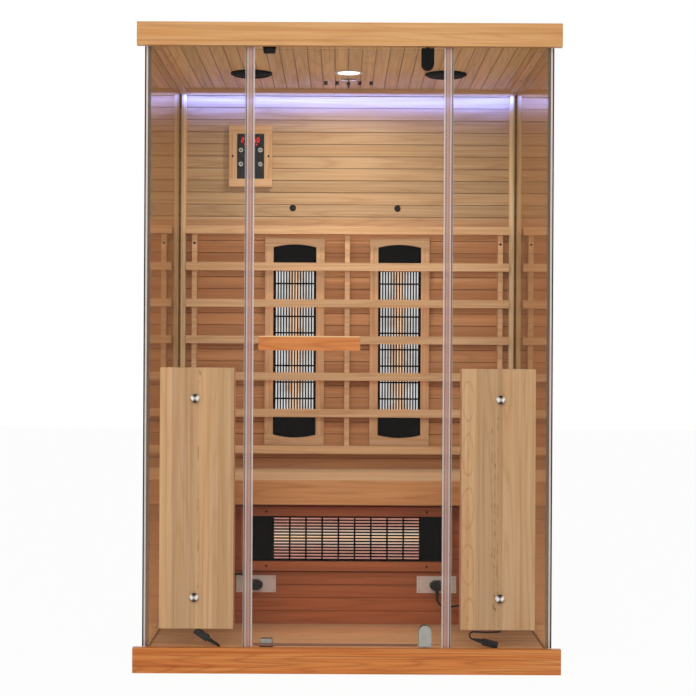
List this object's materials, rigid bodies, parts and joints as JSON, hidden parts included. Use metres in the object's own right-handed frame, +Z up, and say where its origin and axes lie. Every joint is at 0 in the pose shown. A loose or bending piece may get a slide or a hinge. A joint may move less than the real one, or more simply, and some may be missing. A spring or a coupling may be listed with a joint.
{
  "type": "infrared sauna cabin",
  "caption": "Glass-fronted infrared sauna cabin with a boarded back wall, bench, slatted backrest, guarded heaters, ceiling speakers and light, control panel and pivoting door.",
  "frame": {"origin": "on the standing surface, under the middle of the cabin's box", "axes": "+X to the right of someone facing the door, +Y from the door into the cabin, +Z up"},
  "size_m": [1.25, 1.07, 1.9],
  "materials": {
    "beam_wood": "oiled orange-tan hemlock",
    "panel_wood": "planed hemlock boards",
    "pale_wood": "glued pale pine staves",
    "handle_wood": "oiled orange wood",
    "black_metal": "matt black enamel",
    "grey_metal": "satin",
    "heater_ceramic": "unglazed ceramic",
    "black_plastic": "moulded black",
    "cord_rubber": "black sheath",
    "white_plastic": "moulded off-white",
    "button_plastic": "black cap with a pale ring",
    "lamp_lens": "white bezel and diffuser",
    "clear_glass": "clear toughened glass",
    "seal_plastic": "translucent soft PVC"
  },
  "bodies": {
    "cabin": {"base_frame": "beam_wood", "roof_frame": "beam_wood", "floor_panel": "panel_wood", "roof_cover": "panel_wood", "ceiling_panel": "panel_wood", "back_wall_boards": "panel_wood", "back_wall_cover": "panel_wood", "light_cove": "panel_wood", "bench_seat": "panel_wood", "bench_apron": "panel_wood", "kick_panel": "panel_wood", "backrest_rack": "panel_wood", "control_frame": "panel_wood", "calf_heater_frame": "panel_wood", "back_heater_left_frame": "panel_wood", "back_heater_right_frame": "panel_wood", "front_heater_left_box": "pale_wood", "front_heater_right_box": "pale_wood", "calf_heater_case": "black_metal", "back_heater_left_case": "black_metal", "back_heater_right_case": "black_metal", "front_heater_left_case": "black_metal", "front_heater_right_case": "black_metal", "power_box": "grey_metal", "calf_heater_tube": "heater_ceramic", "back_heater_left_tube": "heater_ceramic", "back_heater_right_tube": "heater_ceramic", "front_heater_left_tube": "heater_ceramic", "front_heater_right_tube": "heater_ceramic", "control_panel": "black_plastic", "speaker_left": "black_plastic", "speaker_right": "black_plastic", "plug_left": "black_plastic", "plug_right": "black_plastic", "lead_connector_left": "black_plastic", "lead_connector_right": "black_plastic", "plug_cord_left": "cord_rubber", "plug_cord_right": "cord_rubber", "heater_lead_left": "cord_rubber", "heater_lead_right": "cord_rubber", "socket_plate_left": "white_plastic", "socket_plate_right": "white_plastic", "ceiling_light": "lamp_lens", "side_glass_left": "clear_glass", "side_glass_right": "clear_glass", "front_glass_left": "clear_glass", "front_glass_right": "clear_glass", "door_seal_left": "seal_plastic", "door_seal_right": "seal_plastic"},
    "door": {"door_glass": "clear_glass", "door_handle_outer": "handle_wood", "door_handle_inner": "handle_wood", "door_pivot_top": "black_metal", "door_pivot_bottom": "grey_metal"},
    "button_power": {"button_power": "button_plastic"},
    "button_light": {"button_light": "button_plastic"},
    "button_warmer": {"button_warmer": "button_plastic"},
    "button_shorter": {"button_shorter": "button_plastic"},
    "button_longer": {"button_longer": "button_plastic"},
    "button_cooler": {"button_cooler": "button_plastic"}
  },
  "joints": [
    {"name": "door_swing", "type": "hinge", "parent": "cabin", "child": "door", "pos_m": [0.229, -0.483, 0.95], "axis": [0, 0, 1], "range_deg": [0, 90]},
    {"name": "press_power", "type": "slide", "parent": "cabin", "child": "button_power", "axis": [0, 1, 0], "range_m": [0, 0.001], "stiffness_N_per_m": 400},
    {"name": "press_light", "type": "slide", "parent": "cabin", "child": "button_light", "axis": [0, 1, 0], "range_m": [0, 0.001], "stiffness_N_per_m": 400},
    {"name": "press_warmer", "type": "slide", "parent": "cabin", "child": "button_warmer", "axis": [0, 1, 0], "range_m": [0, 0.001], "stiffness_N_per_m": 400},
    {"name": "press_shorter", "type": "slide", "parent": "cabin", "child": "button_shorter", "axis": [0, 1, 0], "range_m": [0, 0.001], "stiffness_N_per_m": 400},
    {"name": "press_longer", "type": "slide", "parent": "cabin", "child": "button_longer", "axis": [0, 1, 0], "range_m": [0, 0.001], "stiffness_N_per_m": 400},
    {"name": "press_cooler", "type": "slide", "parent": "cabin", "child": "button_cooler", "axis": [0, 1, 0], "range_m": [0, 0.001], "stiffness_N_per_m": 400}
  ]
}
